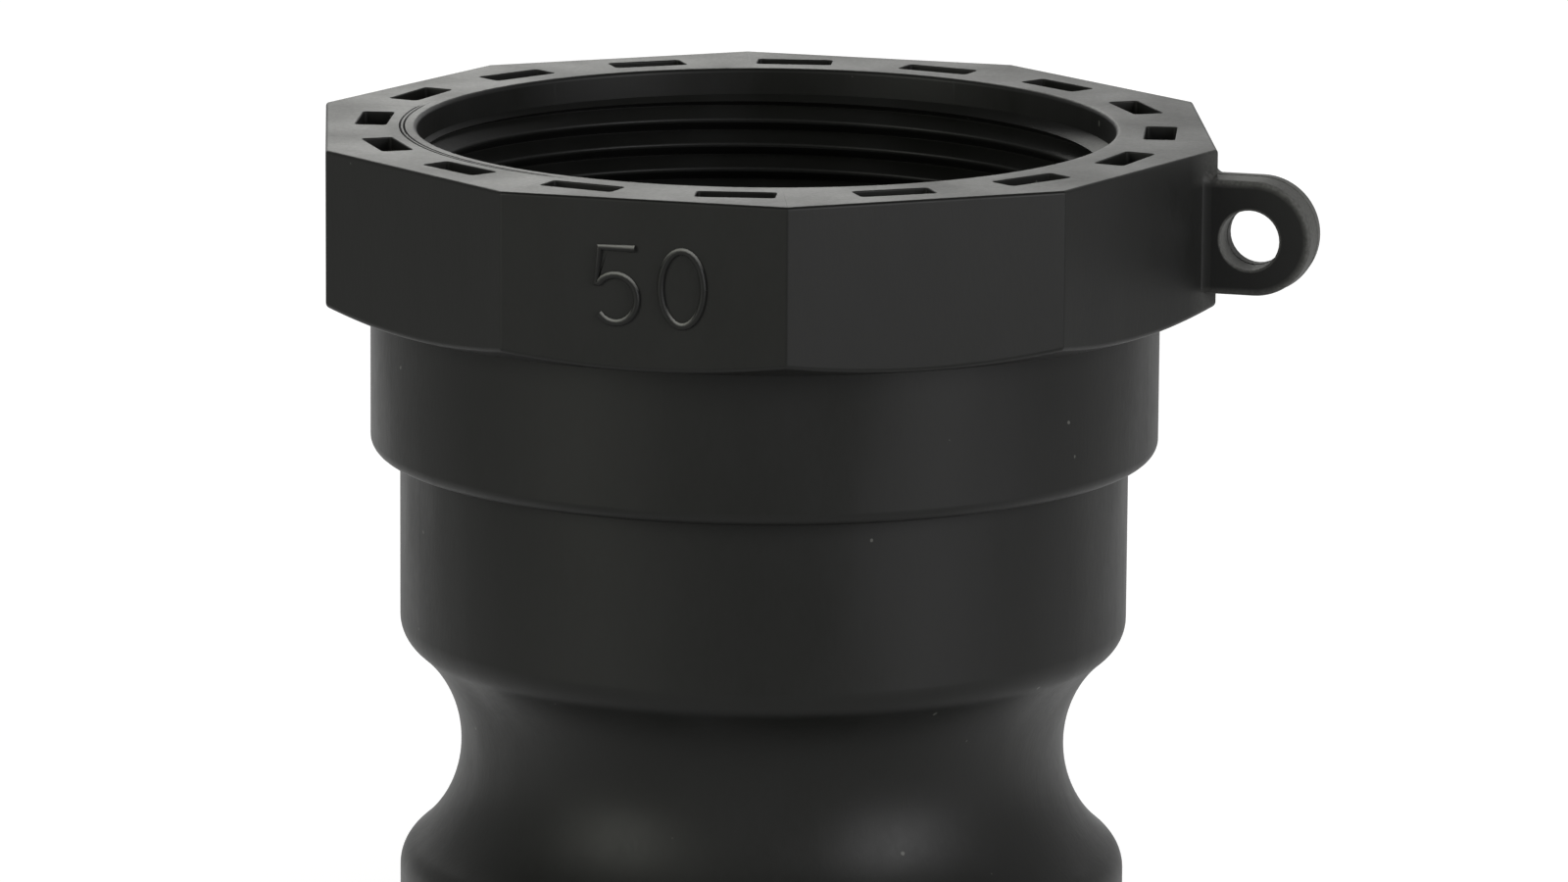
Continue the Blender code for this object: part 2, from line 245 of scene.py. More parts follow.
def sweep_tree():
    """Sweeps an outline of points, from top to bottom, round the hose axis.

    A point with `faceted` at 1 follows the flats and rounded corners of the head, with its X counted on
    the flat; `lift` raises it with its distance from the axis, and `witness` lowers it on one side.
    """
    tree, given, result = new_tree("sweep_round_axis", {
        "Sides": "NodeSocketInt",
        "Corner columns": "NodeSocketInt",
        "Flat columns": "NodeSocketInt",
        "Flat radius": "NodeSocketFloat",
        "Corner radius": "NodeSocketFloat",
        "Lift slope": "NodeSocketFloat",
        "Witness azimuth": "NodeSocketFloat",
    })

    def calc(operation, *values):
        return maths(tree, operation, *values)

    def towards(angle):
        return node(tree, "ShaderNodeCombineXYZ", calc("COSINE", angle), calc("SINE", angle)).outputs[0]

    def sampled(value, kind):
        return output(node(tree, "GeometryNodeSampleIndex", given["Mesh"], value, row, data_type=kind))

    def named(label):
        stored = node(tree, "GeometryNodeInputNamedAttribute", label, data_type="FLOAT")
        return sampled(output(stored), "FLOAT")

    rows = node(tree, "GeometryNodeAttributeDomainSize", given["Mesh"]).outputs["Point Count"]
    side_columns = calc("ADD", given["Corner columns"], given["Flat columns"])
    columns = calc("ADD", calc("MULTIPLY", side_columns, given["Sides"]), 1.0)
    grid = node(tree, "GeometryNodeMeshGrid", 1.0, 1.0, columns, rows).outputs["Mesh"]
    index = node(tree, "GeometryNodeInputIndex").outputs[0]
    column = calc("FLOOR", calc("DIVIDE", index, rows))
    row = calc("SUBTRACT", index, calc("MULTIPLY", column, rows))
    side = calc("FLOOR", calc("DIVIDE", column, side_columns))
    step = calc("SUBTRACT", column, calc("MULTIPLY", side, side_columns))

    half = calc("DIVIDE", math.pi, given["Sides"])
    turn = calc("MINIMUM", calc("DIVIDE", step, given["Corner columns"]), 1.0)
    past = calc("MAXIMUM", calc("SUBTRACT", step, given["Corner columns"]), 0.0)
    along = calc("DIVIDE", past, given["Flat columns"])
    corner = calc("MULTIPLY", calc("MULTIPLY", side, 2.0), half)
    swing = calc("SUBTRACT", calc("MULTIPLY", turn, 2.0), 1.0)
    facing = calc("ADD", corner, calc("MULTIPLY", half, swing))
    inner = calc("SUBTRACT", given["Flat radius"], given["Corner radius"])
    flat_length = calc("MULTIPLY", calc("MULTIPLY", inner, 2.0), calc("TANGENT", half))
    outward = towards(facing)
    pivot = vectors(tree, "SCALE", towards(corner), calc("DIVIDE", inner, calc("COSINE", half)))
    rounded = vectors(tree, "ADD", pivot, vectors(tree, "SCALE", outward, given["Corner radius"]))
    sideways = towards(calc("ADD", facing, math.pi / 2))
    shift = vectors(tree, "SCALE", sideways, calc("MULTIPLY", along, flat_length))
    edge = vectors(tree, "ADD", rounded, shift)

    place = node(tree, "GeometryNodeInputPosition").outputs[0]
    profile = node(tree, "ShaderNodeSeparateXYZ", sampled(place, "FLOAT_VECTOR")).outputs
    across = calc("SUBTRACT", profile["X"], given["Flat radius"])
    on_flats = vectors(tree, "ADD", edge, vectors(tree, "SCALE", outward, across))
    turned = vectors(tree, "SCALE", vectors(tree, "NORMALIZE", edge), profile["X"])
    level = output(node(tree, "ShaderNodeMix", named("faceted"), turned, on_flats, data_type="VECTOR"))
    beyond = calc("SUBTRACT", vectors(tree, "LENGTH", edge), given["Flat radius"])
    lift = calc("MULTIPLY", named("lift"), calc("MULTIPLY", beyond, given["Lift slope"]))
    direction = vectors(tree, "NORMALIZE", edge)
    there = vectors(tree, "DOT_PRODUCT", direction, towards(given["Witness azimuth"]))
    drop = calc("MULTIPLY", named("witness"), ramp(tree, there, *WITNESS_FADE, 0.0, 1.0))
    height = calc("SUBTRACT", calc("ADD", profile["Z"], lift), drop)
    final = vectors(tree, "ADD", level, node(tree, "ShaderNodeCombineXYZ", 0.0, 0.0, height).outputs[0])
    moved = node(tree, "GeometryNodeSetPosition", grid, True, final).outputs[0]
    end_tree(tree, node(tree, "GeometryNodeFlipFaces", moved).outputs[0], result)
    return tree


def arc(centre, radius, start, end, steps):
    """Points along an arc, with both ends, its angles in degrees."""
    turns = [math.radians(start + (end - start) * step / steps) for step in range(steps + 1)]
    return [(centre[0] + radius * math.cos(turn), centre[1] + radius * math.sin(turn)) for turn in turns]


def sweep(name, outline):
    """Runs the sweep on an outline of (radius, height, faceted, lift, witness) points."""
    mesh = bpy.data.meshes.new(name)
    mesh.from_pydata([(point[0], 0.0, point[1]) for point in outline], [], [])
    for place, label in enumerate(("faceted", "lift", "witness"), start=2):
        values = [point[place] if len(point) > place else 0.0 for point in outline]
        mesh.attributes.new(label, "FLOAT", "POINT").data.foreach_set("value", values)
    return grow(name, mesh, sweep_round_axis, {
        "Sides": HEAD_SIDES,
        "Corner columns": CORNER_COLUMNS,
        "Flat columns": FLAT_COLUMNS,
        "Flat radius": HEAD_FLAT,
        "Corner radius": HEAD_CORNER_ROUND,
        "Lift slope": math.tan(TRIM_ANGLE),
        "Witness azimuth": WITNESS_AZIMUTH,
    })


def head_outline():
    """The top face with its witness lines, the flat with its rounded edges, and the trimmed underside."""
    outline = [(0.0, TOP)]
    for radius in WITNESS_RADII:
        outline += [(radius - WITNESS_WIDTH / 2, TOP), (radius, TOP, 0.0, 0.0, WITNESS_DEPTH)]
        outline.append((radius + WITNESS_WIDTH / 2, TOP))
    top_edge = arc((HEAD_FLAT - TOP_EDGE, TOP - TOP_EDGE), TOP_EDGE, 90, 0, FILLET_STEPS)
    outline += [(*point, 1.0) for point in top_edge]
    slope = math.tan(TRIM_ANGLE)
    edge_height = HEAD_BASE + (HEAD_FLAT - TRIM_RADIUS) * slope
    centre_height = edge_height - UNDER_EDGE * slope + UNDER_EDGE / math.cos(TRIM_ANGLE)
    centre = (HEAD_FLAT - UNDER_EDGE, centre_height)
    under_edge = arc(centre, UNDER_EDGE, 0, math.degrees(TRIM_ANGLE) - 90, UNDER_EDGE_STEPS)
    outline += [(*point, 1.0, 1.0) for point in under_edge]
    outline.append((TRIM_RADIUS, HEAD_BASE))
    return outline


def groove_outline():
    """The round cam groove, blended into the shank by a smaller arc above and below."""
    centre = (SHANK_RADIUS - GROOVE_DEPTH + GROOVE_RADIUS, GROOVE_HEIGHT)
    edge_radius = SHANK_RADIUS - GROOVE_EDGE
    reach = centre[0] - edge_radius
    rise = math.sqrt((GROOVE_RADIUS + GROOVE_EDGE) ** 2 - reach ** 2)
    tilt = math.degrees(math.atan2(rise, reach))
    outline = arc((edge_radius, GROOVE_HEIGHT + rise), GROOVE_EDGE, 0, -tilt, BLEND_STEPS)
    outline += arc(centre, GROOVE_RADIUS, 180 - tilt, 180 + tilt, GROOVE_STEPS)[1:-1]
    return outline + arc((edge_radius, GROOVE_HEIGHT - rise), GROOVE_EDGE, tilt, 0, BLEND_STEPS)


def barrel_outline():
    """Collar, shank, groove and tip, with the small fillets between them."""
    centre = (COLLAR_RADIUS + COLLAR_ROOT, HEAD_BASE - COLLAR_ROOT)
    outline = arc(centre, COLLAR_ROOT, 90, 180, FILLET_STEPS)
    centre = (COLLAR_RADIUS - COLLAR_EDGE, COLLAR_BASE + COLLAR_EDGE)
    outline += arc(centre, COLLAR_EDGE, 0, -90, EDGE_STEPS)
    centre = (SHANK_RADIUS + SHANK_ROOT, COLLAR_BASE - SHANK_ROOT)
    outline += arc(centre, SHANK_ROOT, 90, 180, FILLET_STEPS)
    outline += groove_outline()
    outline.append((SHANK_RADIUS, TIP_TAPER_LENGTH))
    outline += arc((SHANK_RADIUS - TIP_TAPER - TIP_EDGE, TIP_EDGE), TIP_EDGE, 0, -90, EDGE_STEPS)
    outline.append((0.0, 0.0))
    return outline


sweep_round_axis = sweep_tree()
adapter = sweep("hose_adapter", head_outline() + barrel_outline())

# Socket and bore
# Cored out of the moulding from the mouth down: a plain lead-in, the threaded length, the recess and the
# seat of the washer, and the bore, which tapers down to the tip and is chamfered there.
MOUTH_ROUND = 0.4 * MM
LEAD_IN_RADIUS = 30.05 * MM
LEAD_IN_DEPTH = 2.3 * MM
LEAD_IN_SLOPE = math.tan(math.radians(30))
CORE_RADIUS = 28.0 * MM
RECESS_RADIUS = 30.2 * MM
SEAT_PLAY = 0.3 * MM
RECESS_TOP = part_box("thread_washer")[1].z + SEAT_PLAY
SEAT_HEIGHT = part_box("thread_washer")[0].z - SEAT_PLAY
SEAT_BORE_RADIUS = 25.0 * MM
BORE_RADIUS = 23.0 * MM
BORE_TAPER_LENGTH = 12.0 * MM
BORE_CHAMFER = 0.8 * MM
CUT_MARGIN = 1.0 * MM
CLEAR = 0.01 * MM


def socket_outline():
    """The outline of the core that shapes the socket and the bore."""
    mouth = LEAD_IN_RADIUS + MOUTH_ROUND
    outline = [(0.0, TOP + CUT_MARGIN), (mouth, TOP + CUT_MARGIN)]
    outline += arc((mouth, TOP + CLEAR - MOUTH_ROUND), MOUTH_ROUND, 90, 180, FILLET_STEPS)
    flank = (LEAD_IN_RADIUS - CORE_RADIUS) * LEAD_IN_SLOPE
    outline += [(LEAD_IN_RADIUS, TOP - LEAD_IN_DEPTH), (CORE_RADIUS, TOP - LEAD_IN_DEPTH - flank)]
    outline += [(CORE_RADIUS, RECESS_TOP), (RECESS_RADIUS, RECESS_TOP), (RECESS_RADIUS, SEAT_HEIGHT)]
    outline += [(SEAT_BORE_RADIUS, SEAT_HEIGHT), (BORE_RADIUS, SEAT_HEIGHT - BORE_TAPER_LENGTH)]
    outline += [(BORE_RADIUS, BORE_CHAMFER), (BORE_RADIUS + BORE_CHAMFER + CUT_MARGIN, -CUT_MARGIN)]
    return outline + [(0.0, -CUT_MARGIN)]


socket_core = sweep("socket_core", socket_outline())

# Pipe thread
# A straight right-handed pipe thread of 11.5 turns to the inch, with 60 degree flanks and rounded crests
# and roots. It is cut by a threaded core that runs out in the lead-in above and the recess below.
THREAD_PITCH = 25.4 * MM / 11.5
THREAD_CREST = 28.3 * MM
FLANK_ANGLE = 60
CREST_ROUND = 0.25 * MM
ROOT_ROUND = 0.08 * MM
THREAD_TOP = TOP - 1.4 * MM
THREAD_BOTTOM = RECESS_TOP - 1.0 * MM
THREAD_COLUMNS = 200
CREST_STEPS = 6
ROOT_STEPS = 2
RUN_OUT_RADIUS = 20.0 * MM
SAME_HEIGHT = 0.0001 * MM
SEEN_CREST_DEPTH = 4.4 * MM
SEEN_CREST_AZIMUTH = math.radians(105.6)


def thread_tree():
    """Winds a row of tooth points round the axis as a screw, and closes it at the top and bottom."""
    tree, given, result = new_tree("threaded_core", {
        "Pitch": "NodeSocketFloat",
        "First height": "NodeSocketFloat",
        "Bottom": "NodeSocketFloat",
        "Top": "NodeSocketFloat",
        "Columns": "NodeSocketInt",
        "Run-out radius": "NodeSocketFloat",
        "Start azimuth": "NodeSocketFloat",
    })

    def calc(operation, *values):
        return maths(tree, operation, *values)

    teeth = node(tree, "GeometryNodeAttributeDomainSize", given["Mesh"]).outputs["Point Count"]
    length = calc("SUBTRACT", given["Top"], given["First height"])
    turns = calc("ADD", calc("CEIL", calc("DIVIDE", length, given["Pitch"])), 1.0)
    thread_rows = calc("MULTIPLY", turns, teeth)
    rows = calc("ADD", thread_rows, 2.0)
    columns = calc("ADD", given["Columns"], 1.0)
    grid = node(tree, "GeometryNodeMeshGrid", 1.0, 1.0, columns, rows).outputs["Mesh"]
    index = node(tree, "GeometryNodeInputIndex").outputs[0]
    column = calc("FLOOR", calc("DIVIDE", index, rows))
    row = calc("SUBTRACT", calc("SUBTRACT", index, calc("MULTIPLY", column, rows)), 1.0)
    turn = calc("FLOOR", calc("DIVIDE", row, teeth))
    tooth = calc("SUBTRACT", row, calc("MULTIPLY", turn, teeth))
    wound = calc("DIVIDE", column, given["Columns"])

    place = node(tree, "GeometryNodeInputPosition").outputs[0]
    found = node(tree, "GeometryNodeSampleIndex", given["Mesh"], place, tooth, data_type="FLOAT_VECTOR")
    profile = node(tree, "ShaderNodeSeparateXYZ", found.outputs[0]).outputs
    climb = calc("MULTIPLY", calc("ADD", turn, wound), given["Pitch"])
    height = calc("ADD", given["First height"], calc("ADD", climb, profile["Z"]))
    held = calc("MINIMUM", calc("MAXIMUM", height, given["Bottom"]), given["Top"])
    inside = calc("LESS_THAN", calc("ABSOLUTE", calc("SUBTRACT", height, held)), SAME_HEIGHT)
    extra = calc("MULTIPLY", calc("SUBTRACT", profile["X"], given["Run-out radius"]), inside)
    radius = calc("ADD", given["Run-out radius"], extra)
    first = calc("LESS_THAN", row, 0.0)
    last = calc("GREATER_THAN", row, calc("SUBTRACT", thread_rows, 0.5))
    open_row = calc("SUBTRACT", calc("SUBTRACT", 1.0, first), last)
    azimuth = calc("ADD", given["Start azimuth"], calc("MULTIPLY", wound, 2 * math.pi))
    reach = calc("MULTIPLY", radius, open_row)
    level = calc("ADD", calc("MULTIPLY", held, open_row), calc("MULTIPLY", first, given["Bottom"]))
    level = calc("ADD", level, calc("MULTIPLY", last, given["Top"]))
    final = node(
        tree, "ShaderNodeCombineXYZ",
        calc("MULTIPLY", reach, calc("COSINE", azimuth)),
        calc("MULTIPLY", reach, calc("SINE", azimuth)),
        level,
    ).outputs[0]
    end_tree(tree, node(tree, "GeometryNodeSetPosition", grid, True, final).outputs[0], result)
    return tree


def tooth_points():
    """One pitch of the core, bottom up: a round crest, a flank, a round root and a flank."""
    centre = (THREAD_CREST + CREST_ROUND, 0.0)
    crest = arc(centre, CREST_ROUND, 180 + FLANK_ANGLE, 180 - FLANK_ANGLE, CREST_STEPS)
    flank = THREAD_PITCH / 2 - (CREST_ROUND + ROOT_ROUND) * math.sin(math.radians(FLANK_ANGLE))
    rise = flank / math.tan(math.radians(FLANK_ANGLE / 2))
    root_radius = crest[-1][0] + rise + ROOT_ROUND / 2
    centre = (root_radius - ROOT_ROUND, THREAD_PITCH / 2)
    root = arc(centre, ROOT_ROUND, -FLANK_ANGLE, FLANK_ANGLE, ROOT_STEPS)
    middle = crest[-1][0] + rise / 2
    return crest + [(middle, crest[-1][1] + flank / 2)] + root + [(middle, root[-1][1] + flank / 2)]


def cut_thread_core():
    points = tooth_points()
    mesh = bpy.data.meshes.new("tooth")
    mesh.from_pydata([(radius, 0.0, height) for radius, height in points], [], [])
    seen_crest = TOP - SEEN_CREST_DEPTH
    turns_down = math.ceil((seen_crest - THREAD_BOTTOM) / THREAD_PITCH) + 1
    return grow("thread_core", mesh, thread_tree(), {
        "Pitch": THREAD_PITCH,
        "First height": seen_crest - turns_down * THREAD_PITCH,
        "Bottom": THREAD_BOTTOM,
        "Top": THREAD_TOP,
        "Columns": THREAD_COLUMNS,
        "Run-out radius": RUN_OUT_RADIUS,
        "Start azimuth": SEEN_CREST_AZIMUTH,
    })


thread_core = cut_thread_core()

# Coring pockets
# Sixteen blind slots in the top face that keep the head's wall even, so that it cools without sinking.
# Each is drafted, with a rounded floor, rounded corners and a soft rim.
POCKET_COUNT = 16
POCKET_INNER_RADIUS = 32.55 * MM
POCKET_WIDTH = 2.65 * MM
POCKET_LENGTH = 6.6 * MM
POCKET_CORNER = 0.35 * MM
POCKET_FLOOR = HEAD_BASE + 3.0 * MM
POCKET_DRAFT = math.tan(math.radians(0.5))
POCKET_RIM = 0.15 * MM
POCKET_FLOOR_ROUND = 0.3 * MM
POCKET_STEPS = 3
CORNER_STEPS = 5


def loft(name, rings):
    """A closed mesh through rings of equally many points, capped at both ends."""
    shape = bmesh.new()
    levels = [[shape.verts.new(point) for point in ring] for ring in rings]
    for low, high in zip(levels, levels[1:]):
        for place, corner in enumerate(low):
            shape.faces.new((low[place - 1], corner, high[place], high[place - 1]))
    shape.faces.new(reversed(levels[0]))
    shape.faces.new(levels[-1])
    bmesh.ops.recalc_face_normals(shape, faces=shape.faces)
    mesh = bpy.data.meshes.new(name)
    shape.to_mesh(mesh)
    shape.free()
    return mesh


def rounded_box(half_x, half_y, radius):
    """The outline of a box with rounded corners, centred on the origin."""
    outline = []
    for quarter, (x_side, y_side) in enumerate(((1, 1), (-1, 1), (-1, -1), (1, -1))):
        centre = (x_side * (half_x - radius), y_side * (half_y - radius))
        outline += arc(centre, radius, 90 * quarter, 90 * quarter + 90, CORNER_STEPS)
    return outline


def pocket_rings():
    """The steel that cores one pocket, from its floor up through the top face."""
    rings = []
    middle = POCKET_INNER_RADIUS + POCKET_WIDTH / 2

    def ring(growth, height):
        draw = (TOP - height) * POCKET_DRAFT
        half_x = POCKET_WIDTH / 2 + growth - draw
        half_y = POCKET_LENGTH / 2 + growth - draw
        outline = rounded_box(half_x, half_y, POCKET_CORNER + growth)
        rings.append([(middle + x, y, height) for x, y in outline])

    for across, down in arc((0.0, 0.0), POCKET_FLOOR_ROUND, -90, 0, POCKET_STEPS):
        ring(across - POCKET_FLOOR_ROUND, POCKET_FLOOR + POCKET_FLOOR_ROUND + down)
    for across, up in arc((0.0, 0.0), POCKET_RIM, 180, 90, POCKET_STEPS):
        ring(POCKET_RIM + across, TOP + CLEAR - POCKET_RIM + up)
    ring(POCKET_RIM, TOP + CUT_MARGIN)
    return rings


def ring_tree():
    """Repeats a mesh round the hose axis."""
    inputs = {"Count": "NodeSocketInt", "First": "NodeSocketFloat"}
    tree, given, result = new_tree("ring_of_copies", inputs)
    points = node(tree, "GeometryNodePoints", given["Count"]).outputs[0]
    index = node(tree, "GeometryNodeInputIndex").outputs[0]
    step = maths(tree, "DIVIDE", 2 * math.pi, given["Count"])
    azimuth = maths(tree, "ADD", given["First"], maths(tree, "MULTIPLY", index, step))
    turn = node(tree, "ShaderNodeCombineXYZ", 0.0, 0.0, azimuth).outputs[0]
    turn = node(tree, "FunctionNodeEulerToRotation", turn).outputs[0]
    copies = node(tree, "GeometryNodeInstanceOnPoints", points, True, given["Mesh"], False, 0, turn)
    end_tree(tree, node(tree, "GeometryNodeRealizeInstances", copies.outputs[0]).outputs[0], result)
    return tree


pocket_cores = grow("pocket_cores", loft("pocket_core", pocket_rings()), ring_tree(), {
    "Count": POCKET_COUNT,
    "First": math.pi / POCKET_COUNT,
})

# Tether lug
# A pierced plate on one corner of the head, for the ring of a tether. Its rim and its hole are drafted
# from both faces, the halves of the mould meet in a fine ridge nearer to the back, and the hole lies a
# little off the middle of the round end.
LUG_THICKNESS = 4.3 * MM
LUG_HOLE_RADIUS = 2.5 * MM
HOLE_SHIFT = (-0.35 * MM, -0.15 * MM)
LUG_END_RADIUS = 5.05 * MM
LUG_HOLE_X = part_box("adapter_body")[1].x - AXIS_X - LUG_END_RADIUS
LUG_HOLE_Z = TOP - 7.15 * MM
LUG_EDGE = 0.4 * MM
LUG_DRAFT = math.tan(math.radians(1.5))
LUG_PARTING = 0.45 * MM
RIDGE_WIDTH = 0.12 * MM
RIDGE_HEIGHT = 0.05 * MM
LUG_ROOT_DEPTH = 3.0 * MM
LUG_ROOT_ROUND = 0.9 * MM
ROOT_SIDE_SHARE = 0.35
HOLE_EDGE = 0.15 * MM
# Tone, added roughness and speckle size of the paler band round the lug's rim and in its hole.
LUG_RIM_TONE = (0.075, 0.075, 0.07)
LUG_RIM_ROUGHNESS = 0.15
LUG_RIM_GRAIN = 0.25 * MM
RIM_STEPS = 36
ROOT_FILLET_STEPS = 6


def rim_rows(edge):
    """Rows (inset, depth) across the lug's rim, from its front face to its back face."""
    half = LUG_THICKNESS / 2
    front = half + LUG_PARTING
    back = half - LUG_PARTING
    rows = [(RIDGE_HEIGHT + front * LUG_DRAFT + edge - out, -half + edge - rise)
            for rise, out in arc((0.0, 0.0), edge, 0, 90, FILLET_STEPS)]
    rows += [(RIDGE_HEIGHT, LUG_PARTING - RIDGE_WIDTH / 2), (0.0, LUG_PARTING)]
    rows.append((RIDGE_HEIGHT, LUG_PARTING + RIDGE_WIDTH / 2))
    rows += [(RIDGE_HEIGHT + back * LUG_DRAFT + edge - out, half - edge + rise)
             for rise, out in arc((0.0, 0.0), edge, 90, 0, FILLET_STEPS)]
    return rows


def lug_ring(inset, depth):
    root = HEAD_FLAT - LUG_ROOT_DEPTH
    reach = LUG_END_RADIUS - inset
    outline = arc((LUG_HOLE_X, LUG_HOLE_Z), reach, -90, 90, RIM_STEPS)
    outline += [(root, LUG_HOLE_Z + reach), (root, LUG_HOLE_Z - reach)]
    return [(x, depth, z) for x, z in outline]


def hole_ring(inset, depth):
    centre = (LUG_HOLE_X + HOLE_SHIFT[0], LUG_HOLE_Z + HOLE_SHIFT[1])
    outline = arc(centre, LUG_HOLE_RADIUS + inset, 0, 360, RIM_STEPS)[:-1]
    return [(x, depth, z) for x, z in outline]


def root_rings():
    """The fillet round the lug where it grows out of the two flats beside the corner."""
    lean = math.pi / HEAD_SIDES
    half_y = LUG_THICKNESS / 2 - CLEAR
    half_z = LUG_END_RADIUS - RIDGE_HEIGHT - LUG_THICKNESS * LUG_DRAFT

    def ring(flare, stand, flat_end=False):
        points = []
        for y, z in rounded_box(half_y, half_z, LUG_EDGE):
            side = Vector((y, z)) - Vector((
                max(-half_y + LUG_EDGE, min(half_y - LUG_EDGE, y)),
                max(-half_z + LUG_EDGE, min(half_z - LUG_EDGE, z)),
            ))
            out = side.normalized()
            above = ROOT_SIDE_SHARE + (1 - ROOT_SIDE_SHARE) * max(0.0, out.y)
            share = flare * min(1.0, 1.0 + out.y) * above
            spread = (y + out.x * share, z + out.y * share)
            behind = 0.0 if flat_end else abs(spread[0]) * math.sin(lean)
            wall = (HEAD_FLAT - behind) / math.cos(lean)
            points.append((wall + stand, spread[0], LUG_HOLE_Z + spread[1]))
        return points

    rings = [ring(LUG_ROOT_ROUND, -LUG_ROOT_DEPTH / 2, flat_end=True)]
    centre = (LUG_ROOT_ROUND, LUG_ROOT_ROUND)
    for rise, fall in arc(centre, LUG_ROOT_ROUND, -180, -90, ROOT_FILLET_STEPS):
        rings.append(ring(fall, rise - CLEAR))
    return [*rings, ring(0.0, LUG_ROOT_ROUND + CLEAR, flat_end=True)]


def smooth(obj, sharper_than):
    """Shades it smooth between its sharp edges, and weighs the normals by the size of the faces."""
    obj.data.shade_smooth()
    obj.data.set_sharp_from_angle(angle=sharper_than)
    weigh = obj.modifiers.new("Weigh", "WEIGHTED_NORMAL")
    weigh.keep_sharp = True
    settle(obj)


def settle(obj):
    """Applies the object's modifiers."""
    graph = bpy.context.evaluated_depsgraph_get()
    mesh = bpy.data.meshes.new_from_object(obj.evaluated_get(graph))
    obj.modifiers.clear()
    obj.data = mesh


def combine(obj, operation, other):
    """Joins another shape to the object, or cuts it away, and uses it up."""
    change = obj.modifiers.new(operation, "BOOLEAN")
    change.operation = operation
    change.object = other
    change.solver = "MANIFOLD"
    settle(obj)
    bpy.data.objects.remove(other)


def place_mesh(name, mesh):
    obj = bpy.data.objects.new(name, mesh)
    bpy.context.scene.collection.objects.link(obj)
    if not mesh.materials:
        mesh.materials.append(polypropylene)
    return obj


def make_lug():
    lug = place_mesh("tether_lug", loft("tether_lug", [lug_ring(*row) for row in rim_rows(LUG_EDGE)]))
    combine(lug, "UNION", place_mesh("lug_root", loft("lug_root", root_rings())))
    hole_rows = [(inset - RIDGE_HEIGHT, depth) for inset, depth in rim_rows(HOLE_EDGE)]
    beyond = LUG_THICKNESS / 2 + CUT_MARGIN
    hole_rows = [(hole_rows[0][0], -beyond), *hole_rows, (hole_rows[-1][0], beyond)]
    hole_core = loft("hole_core", [hole_ring(*row) for row in hole_rows])
    combine(lug, "DIFFERENCE", place_mesh("hole_core", hole_core))
    return lug


def pale_lug_rim():
    """Pales and roughens the plastic in a speckled band round the lug's rim and in its hole."""
    tree = polypropylene.node_tree
    place = node(tree, "ShaderNodeTexCoord").outputs["Object"]
    centre = (AXIS_X + LUG_HOLE_X, 0.0, LUG_HOLE_Z)
    offset = node(tree, "ShaderNodeSeparateXYZ", vectors(tree, "SUBTRACT", place, centre)).outputs
    past = maths(tree, "MAXIMUM", offset["X"], 0.0)
    squares = maths(tree, "ADD", maths(tree, "POWER", past, 2.0), maths(tree, "POWER", offset["Z"], 2.0))
    to_rim = maths(tree, "SQRT", squares)
    rim = ramp(tree, to_rim, LUG_END_RADIUS - 2 * LUG_EDGE, LUG_END_RADIUS - LUG_EDGE / 2, 0.0, 1.0)
    off_root = ramp(tree, offset["X"], -LUG_END_RADIUS, -LUG_HOLE_RADIUS, 0.0, 1.0)
    rim = maths(tree, "MULTIPLY", rim, off_root)
    hole_centre = (centre[0] + HOLE_SHIFT[0], 0.0, centre[2] + HOLE_SHIFT[1])
    across = vectors(tree, "SUBTRACT", place, hole_centre)
    to_hole = vectors(tree, "LENGTH", vectors(tree, "MULTIPLY", across, (1.0, 0.0, 1.0)))
    hole = ramp(tree, to_hole, LUG_HOLE_RADIUS + 2 * HOLE_EDGE, LUG_HOLE_RADIUS + HOLE_EDGE, 0.0, 1.0)
    speckle = ramp(tree, noise(tree, place, LUG_RIM_GRAIN, detail=3.0), *NOISE_SPAN, 0.5, 1.0)
    pale_plastic(maths(tree, "MULTIPLY", maths(tree, "MAXIMUM", rim, hole), speckle), LUG_RIM_TONE, LUG_RIM_ROUGHNESS)


tether_lug = make_lug()
pale_lug_rim()

# Raised number
# A plain size number in thin round beads on the flat that faces the front. It is moulded with the head,
# and a painted highlight pales the upper sides of its beads.
NUMBER_HEIGHT = 6.3 * MM
NUMBER_WIDTH = 4.0 * MM
NUMBER_GAP = 1.7 * MM
NUMBER_MIDDLE = (0.5 * MM, TOP - 7.3 * MM)
BEAD_RADIUS = 0.3 * MM
BEAD_RISE = 0.05 * MM
# Colour of the painted highlight on the beads, and the range of the normal's upward part over which it
# fades in.
BEAD_HIGHLIGHT_TONE = (0.16, 0.16, 0.15)
BEAD_HIGHLIGHT_FADE = (0.3, 0.7)
BEAD_SIDES = 12
BOWL_RADIUS = 0.32
BOWL_STRETCH = 1.45
BOWL_END = 140
BOWL_STEPS = 20
ZERO_HALF_WIDTH = 0.46
ZERO_STEPS = 32


def bead_tree():
    """Lays a round bead along each stroke."""
    tree, given, result = new_tree("raised_beads", {"Bead radius": "NodeSocketFloat"})
    circle = node(tree, "GeometryNodeCurvePrimitiveCircle", BEAD_SIDES, given["Bead radius"]).outputs[0]
    bead = node(tree, "GeometryNodeCurveToMesh", given["Mesh"], circle, None, True).outputs[0]
    end_tree(tree, bead, result)
    return tree


def five():
    """The stroke of a 5, in a box from 0 to 1 each way: its top bar, its stem and its bowl."""
    bowl = arc((0.0, BOWL_RADIUS), BOWL_RADIUS, BOWL_END, -BOWL_END, BOWL_STEPS)
    stem = [(0.92, 1.0), (0.16, 1.0), (0.08, 0.52)]
    return stem + [(0.5 + x * BOWL_STRETCH, y) for x, y in bowl]


def zero():
    """The stroke of a 0, in a box from 0 to 1 each way."""
    circle = arc((0.0, 0.0), 1.0, 0, 360, ZERO_STEPS)
    return [(0.5 + ZERO_HALF_WIDTH * x, 0.5 + 0.5 * y) for x, y in circle]


